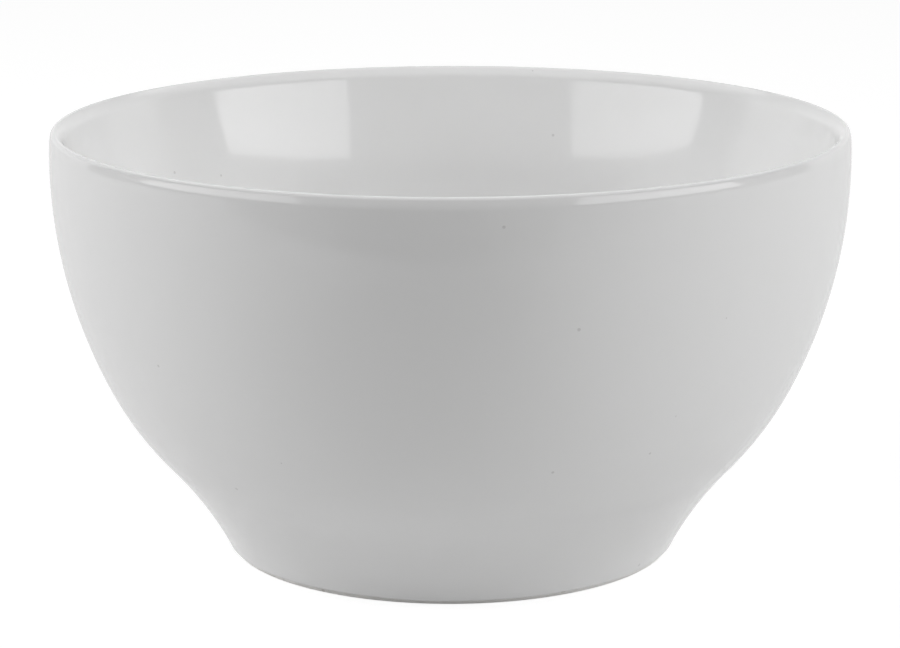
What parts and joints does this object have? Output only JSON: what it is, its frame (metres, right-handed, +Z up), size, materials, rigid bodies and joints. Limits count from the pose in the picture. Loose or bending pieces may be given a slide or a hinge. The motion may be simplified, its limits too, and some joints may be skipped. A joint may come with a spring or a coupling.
{
  "type": "latte bowl",
  "caption": "Wide footed drinking bowl of white glazed ceramic with a deep rounded belly, a slim eased lip and a flared foot ring, for milky coffee, cereal or soup.",
  "frame": {"origin": "centre of the foot ring, on the surface that the bowl stands on", "axes": "+Z up along the bowl's axis of revolution, X and Y free"},
  "size_m": [0.14, 0.14, 0.0755],
  "materials": {
    "white_glaze": "gloss",
    "bare_clay": "matte"
  },
  "bodies": {
    "root": {"clay_body": "bare_clay", "glaze_coat": "white_glaze", "underside_glaze": "white_glaze"}
  },
  "joints": []
}
